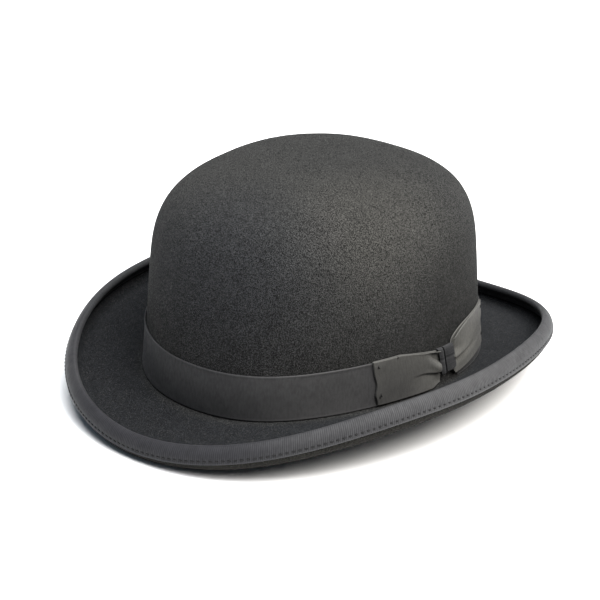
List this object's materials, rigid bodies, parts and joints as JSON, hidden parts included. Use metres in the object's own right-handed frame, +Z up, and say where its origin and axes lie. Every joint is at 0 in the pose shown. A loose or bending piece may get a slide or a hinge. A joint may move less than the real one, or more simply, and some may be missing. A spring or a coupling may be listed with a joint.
{
  "type": "bowler hat",
  "caption": "Hard felt hat with a round domed crown, rolled and ribbon-bound brim, grosgrain band with a flat side bow, leather sweatband and satin lining.",
  "frame": {"origin": "on the surface that the hat stands on, under the middle of its bounding box", "axes": "+Z up through the crown, -Y towards the front of the hat, +X towards the wearer's left, where the bow is"},
  "size_m": [0.255, 0.3008, 0.1257],
  "materials": {
    "felt": "matt black stiffened wool felt with a short mottled nap",
    "grosgrain": "ribbed charcoal grosgrain ribbon, low sheen",
    "keeper_ribbon": "ribbed blue-black ribbon",
    "thread": "black sewing thread",
    "leather": "smooth brown hat leather",
    "cane": "plain split cane",
    "sleeve_brass": "drawn brass",
    "tape": "oiled black cotton tape",
    "satin": "dark grey satin with a soft sheen",
    "clear_film": "clear flexible film",
    "card": "off-white card, blank"
  },
  "bodies": {
    "root": {"felt_body": "felt", "brim_binding": "grosgrain", "binding_stitching": "thread", "hat_band": "grosgrain", "bow_front_loop": "grosgrain", "bow_rear_loop": "grosgrain", "bow_keeper": "keeper_ribbon", "bow_front_upper_tack": "thread", "bow_front_lower_tack": "thread", "bow_rear_upper_tack": "thread", "bow_rear_lower_tack": "thread", "sweatband": "leather", "sweatband_stitching": "thread", "sweatband_reed": "cane", "reed_sleeve": "sleeve_brass", "reed_tape": "tape", "rear_bow_left_loop": "grosgrain", "rear_bow_right_loop": "grosgrain", "rear_bow_knot": "grosgrain", "lining_side": "satin", "lining_tip": "satin", "lining_piping": "satin", "tip_protector": "clear_film", "size_ticket": "card"}
  },
  "joints": []
}
